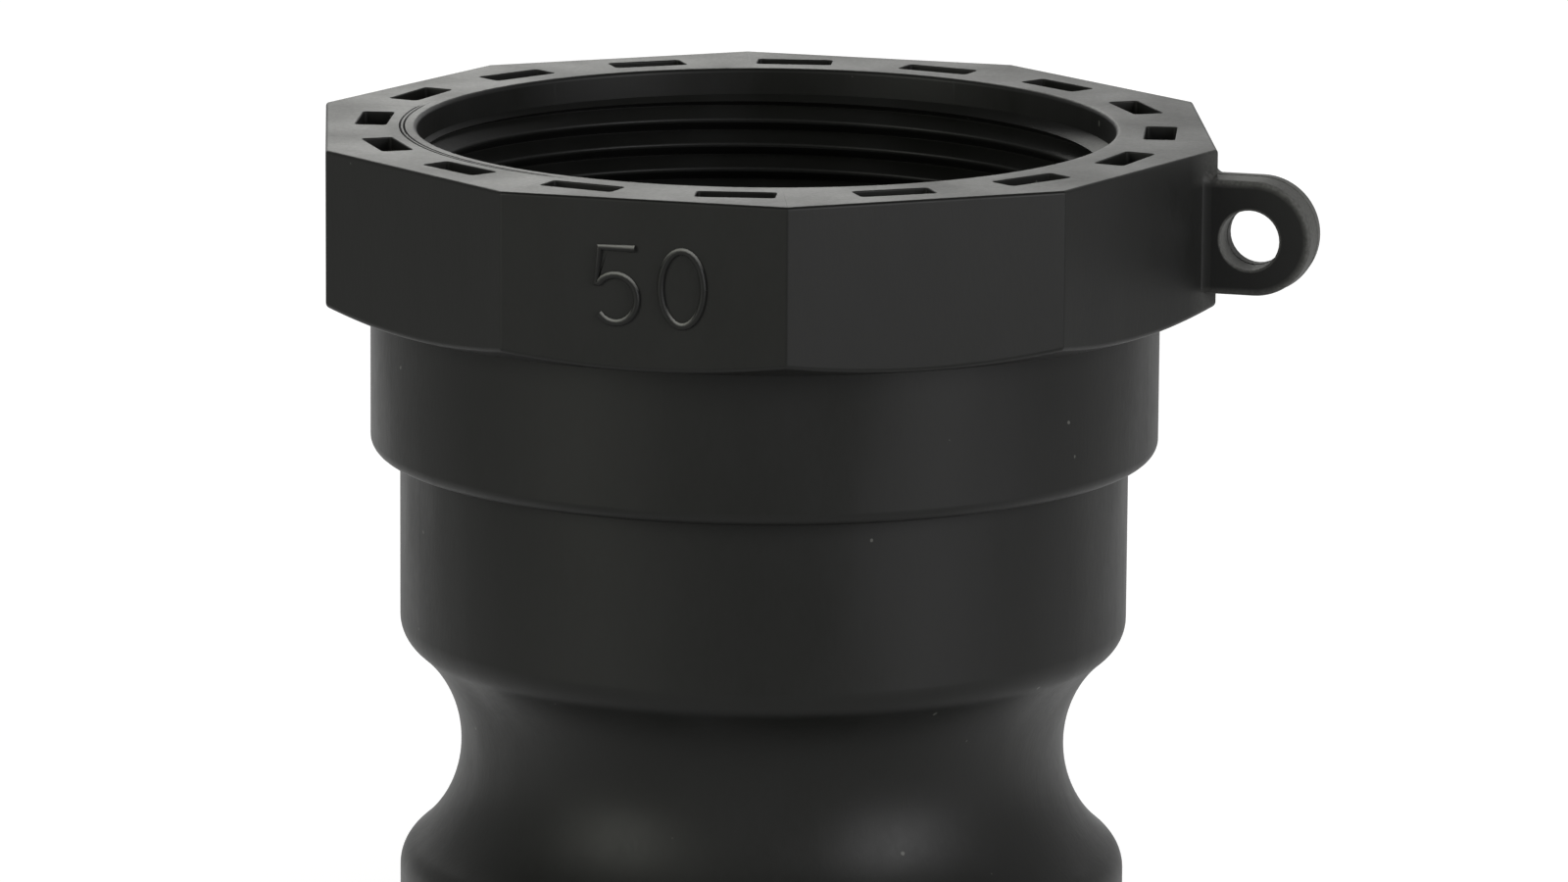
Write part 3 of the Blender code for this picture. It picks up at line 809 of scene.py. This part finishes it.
def number_curve():
    curve = bpy.data.curves.new("number", "CURVE")
    curve.dimensions = "3D"
    left = NUMBER_MIDDLE[0] - NUMBER_GAP / 2 - NUMBER_WIDTH
    for stroke, start in ((five(), left), (zero(), NUMBER_MIDDLE[0] + NUMBER_GAP / 2)):
        spline = curve.splines.new("POLY")
        spline.points.add(len(stroke) - 1)
        for point, (x, y) in zip(spline.points, stroke):
            across = start + x * NUMBER_WIDTH
            up = NUMBER_MIDDLE[1] + (y - 0.5) * NUMBER_HEIGHT
            point.co = (across, -HEAD_FLAT - BEAD_RISE, up, 1.0)
    return curve


def paint_bead_highlight():
    """Paints a pale highlight on the upper sides of the beads, which stand proud of the flat."""
    tree = polypropylene.node_tree
    spot = node(tree, "ShaderNodeTexCoord").outputs
    depth = node(tree, "ShaderNodeSeparateXYZ", spot["Object"]).outputs["Y"]
    proud = ramp(tree, maths(tree, "SUBTRACT", -HEAD_FLAT, depth), 0.0, BEAD_RISE, 0.0, 1.0)
    facing = node(tree, "ShaderNodeSeparateXYZ", spot["Normal"]).outputs["Z"]
    upward = ramp(tree, facing, *BEAD_HIGHLIGHT_FADE, 0.0, 1.0)
    # Painted highlight: the beads' upward-facing sides are made pale in colour.
    pale_plastic(maths(tree, "MULTIPLY", proud, upward), BEAD_HIGHLIGHT_TONE, 0.0)


raised_number = grow("raised_number", number_curve(), bead_tree(), {"Bead radius": BEAD_RADIUS})
paint_bead_highlight()

# The whole moulding
# The lug and the number are joined to the head, and the cores leave the socket, thread and pockets. The
# shading turns sharp where two faces meet at more than the given angle.
SHARP_ANGLE = math.radians(32)
combine(adapter, "UNION", tether_lug)
combine(adapter, "UNION", raised_number)
combine(adapter, "DIFFERENCE", socket_core)
combine(adapter, "DIFFERENCE", pocket_cores)
combine(adapter, "DIFFERENCE", thread_core)
adapter.data.transform(Matrix.Translation((AXIS_X, 0.0, 0.0)))
smooth(adapter, SHARP_ANGLE)
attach(adapter, "root")
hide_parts("adapter_body")

# Thread washer
# A flat ring of black rubber on the seat below the thread, against which the screwed-in pipe seals. Its
# inner corners are broken and its rim is bevelled, so that it can be pressed in past the thread.
WASHER_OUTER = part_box("thread_washer")[1].y
WASHER_INNER = 25.4 * MM
WASHER_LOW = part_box("thread_washer")[0].z
WASHER_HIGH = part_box("thread_washer")[1].z
WASHER_FLAT = 28.0 * MM
WASHER_EDGE = 0.5 * MM
WASHER_STEPS = 160
RUBBER_DARK = (0.008, 0.008, 0.008)
RUBBER_LIGHT = (0.016, 0.016, 0.016)
RUBBER_SPECULAR = 0.35
RUBBER_ROUGHNESS = (0.68, 0.82)
MOTTLE_SIZE = 2 * MM
RUBBER_GRAIN_SIZE = 0.2 * MM
RUBBER_GRAIN_HEIGHT = 0.02 * MM


def make_rubber():
    material, tree, shader, place = new_shader("black_rubber", RUBBER_SPECULAR)
    mottle = noise(tree, place, MOTTLE_SIZE, detail=3.0)
    grain = noise(tree, place, RUBBER_GRAIN_SIZE)
    tree.links.new(tones(tree, mottle, RUBBER_DARK, RUBBER_LIGHT), shader.inputs["Base Color"])
    tree.links.new(ramp(tree, mottle, *NOISE_SPAN, *RUBBER_ROUGHNESS), shader.inputs["Roughness"])
    tree.links.new(bump(tree, grain, RUBBER_GRAIN_HEIGHT), shader.inputs["Normal"])
    return material


def make_washer():
    centre = (WASHER_INNER + WASHER_EDGE, WASHER_LOW + WASHER_EDGE)
    edge = arc(centre, WASHER_EDGE, 270, 180, FILLET_STEPS)
    centre = (WASHER_INNER + WASHER_EDGE, WASHER_HIGH - WASHER_EDGE)
    edge += arc(centre, WASHER_EDGE, 180, 90, FILLET_STEPS)
    section = [(WASHER_FLAT, WASHER_HIGH), (WASHER_OUTER, WASHER_HIGH - WASHER_EDGE)]
    section += [(WASHER_OUTER, WASHER_LOW + WASHER_EDGE), (WASHER_FLAT, WASHER_LOW)]
    section += edge
    shape = bmesh.new()
    points = [shape.verts.new((radius, 0.0, height)) for radius, height in section]
    edges = [shape.edges.new((points[place - 1], point)) for place, point in enumerate(points)]
    full = 2 * math.pi
    bmesh.ops.spin(shape, geom=edges, axis=(0, 0, 1), angle=full, steps=WASHER_STEPS, use_merge=True)
    bmesh.ops.recalc_face_normals(shape, faces=shape.faces)
    mesh = bpy.data.meshes.new("thread_washer_ring")
    shape.to_mesh(mesh)
    shape.free()
    mesh.transform(Matrix.Translation((AXIS_X, 0.0, 0.0)))
    mesh.materials.append(make_rubber())
    return place_mesh("thread_washer_ring", mesh)


washer = make_washer()
smooth(washer, SHARP_ANGLE)
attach(washer, "root")
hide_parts("thread_washer")

# Floor and light
# A studio floor with a painted glow, seen straight and in reflections: white in the wedge behind the
# object and pale grey elsewhere, as if the light fell off towards the camera. The world's walls are pale
# and white the same way, with a dark ceiling. Two soft lamps stand in front, to the left and the right,
# and a third one high behind lights the top face.
FLOOR_SIZE = 12.0
FLOOR_PAPER = 0.3
# Levels of the floor's painted glow: white in the wedge behind the object, pale grey elsewhere.
FLOOR_WHITE = 0.85
FLOOR_PALE = 0.4
FLOOR_APEX = 0.3
WORLD_LIGHT = 0.3
WORLD_PALE = 0.5
WORLD_WHITE = 1.0
BACKDROP_AZIMUTH = math.radians(100)
FLOOR_EDGE = (math.cos(math.radians(38)), math.cos(math.radians(18)))
WORLD_EDGE = (math.cos(math.radians(42)), math.cos(math.radians(18)))
CEILING_EDGE = (math.sin(math.radians(30)), math.sin(math.radians(60)))
CEILING_TONE = 0.05


def seen_directly(tree):
    """1 for what the camera sees, straight or in a reflection or through glass, and 0 for lighting."""
    ray = node(tree, "ShaderNodeLightPath").outputs
    seen = maths(tree, "MAXIMUM", ray["Is Camera Ray"], ray["Is Glossy Ray"])
    return maths(tree, "MAXIMUM", seen, ray["Is Transmission Ray"])


def backdrop(tree, place, apex, edge, pale, white):
    """Pale all round, and white in a wedge behind the object that starts before it by the apex."""
    behind = Vector((math.cos(BACKDROP_AZIMUTH), math.sin(BACKDROP_AZIMUTH), 0.0))
    flat = vectors(tree, "MULTIPLY_ADD", place, (1.0, 1.0, 0.0), behind * apex)
    dot = vectors(tree, "DOT_PRODUCT", vectors(tree, "NORMALIZE", flat), behind)
    return ramp(tree, dot, *edge, pale, white)


def make_floor():
    bpy.ops.mesh.primitive_plane_add(size=FLOOR_SIZE)
    floor = bpy.context.object
    floor.name = "floor"
    material = bpy.data.materials.new("white_floor")
    material.use_nodes = True
    tree = material.node_tree
    shader = tree.nodes["Principled BSDF"]
    shader.inputs["Base Color"].default_value = (FLOOR_PAPER, FLOOR_PAPER, FLOOR_PAPER, 1.0)
    shader.inputs["Roughness"].default_value = 1.0
    shader.inputs["Specular IOR Level"].default_value = 0.0
    shader.inputs["Emission Color"].default_value = (1.0, 1.0, 1.0, 1.0)
    place = node(tree, "ShaderNodeTexCoord").outputs["Object"]
    # Painted light: the floor glows for the camera and in reflections, white behind the object and pale
    # grey elsewhere.
    glow = backdrop(tree, place, FLOOR_APEX, FLOOR_EDGE, FLOOR_PALE, FLOOR_WHITE)
    tree.links.new(maths(tree, "MULTIPLY", seen_directly(tree), glow), shader.inputs["Emission Strength"])
    floor.data.materials.append(material)


def make_world():
    world = bpy.data.worlds.new("studio")
    bpy.context.scene.world = world
    world.use_nodes = True
    tree = world.node_tree
    background = tree.nodes["Background"]
    background.inputs["Color"].default_value = (1.0, 1.0, 1.0, 1.0)
    distant = node(tree, "ShaderNodeTexCoord").outputs["Generated"]
    height = node(tree, "ShaderNodeSeparateXYZ", distant).outputs["Z"]
    ceiling = ramp(tree, height, *CEILING_EDGE, 1.0, CEILING_TONE)
    walls = backdrop(tree, distant, 0.0, WORLD_EDGE, WORLD_PALE, WORLD_WHITE)
    seen = maths(tree, "MULTIPLY", walls, ceiling)
    level = ramp(tree, seen_directly(tree), 0.0, 1.0, WORLD_LIGHT, seen)
    tree.links.new(level, background.inputs["Strength"])


def make_lamp(name, azimuth, elevation, distance, size, power, colour):
    """A soft lamp that looks at the object, its azimuth counted from the front towards +X."""
    data = bpy.data.lights.new(name, "AREA")
    data.shape = "RECTANGLE"
    data.size, data.size_y = size
    data.energy = power
    data.color = colour
    lamp = bpy.data.objects.new(name, data)
    bpy.context.scene.collection.objects.link(lamp)
    turn, rise = math.radians(azimuth), math.radians(elevation)
    out = Vector((math.sin(turn) * math.cos(rise), -math.cos(turn) * math.cos(rise), math.sin(rise)))
    lamp.location = Vector((AXIS_X, 0.0, TOP / 2)) + out * distance
    lamp.rotation_euler = out.to_track_quat("Z", "Y").to_euler()


make_floor()
make_world()
make_lamp(
    "left_softbox", azimuth=-37, elevation=15, distance=0.8,
    size=(0.36, 0.6), power=4.2, colour=(0.98, 1.0, 0.91),
)
make_lamp(
    "right_softbox", azimuth=66, elevation=14, distance=0.8,
    size=(0.36, 0.6), power=6.2, colour=(0.985, 0.985, 1.0),
)
make_lamp(
    "back_softbox", azimuth=205, elevation=28, distance=1.2,
    size=(0.5, 0.5), power=3.2, colour=(1.0, 1.0, 0.95),
)

# Camera
# The photograph is taken from a little above and to the right, through a long lens.
CAMERA_AIM = Vector((-2.716, 0.476, 46.322)) * MM
CAMERA_DISTANCE = 0.826
CAMERA_AZIMUTH = math.radians(15.338)
CAMERA_ELEVATION = math.radians(11.618)
CAMERA_ROLL = math.radians(0.4155)
CAMERA_LENS = 219.11


def make_camera():
    data = bpy.data.cameras.new("camera")
    data.sensor_width = 36.0
    data.lens = CAMERA_LENS
    camera = bpy.data.objects.new("camera", data)
    bpy.context.scene.collection.objects.link(camera)
    level = math.cos(CAMERA_ELEVATION)
    ahead = Vector((math.sin(CAMERA_AZIMUTH), -math.cos(CAMERA_AZIMUTH), 0.0))
    out = ahead * level + Vector((0.0, 0.0, math.sin(CAMERA_ELEVATION)))
    turn = Matrix.Rotation(CAMERA_AZIMUTH, 4, "Z")
    turn @= Matrix.Rotation(math.pi / 2 - CAMERA_ELEVATION, 4, "X") @ Matrix.Rotation(CAMERA_ROLL, 4, "Z")
    camera.matrix_world = Matrix.Translation(CAMERA_AIM + out * CAMERA_DISTANCE) @ turn
    bpy.context.scene.camera = camera


make_camera()
bpy.context.scene.view_settings.view_transform = "Standard"
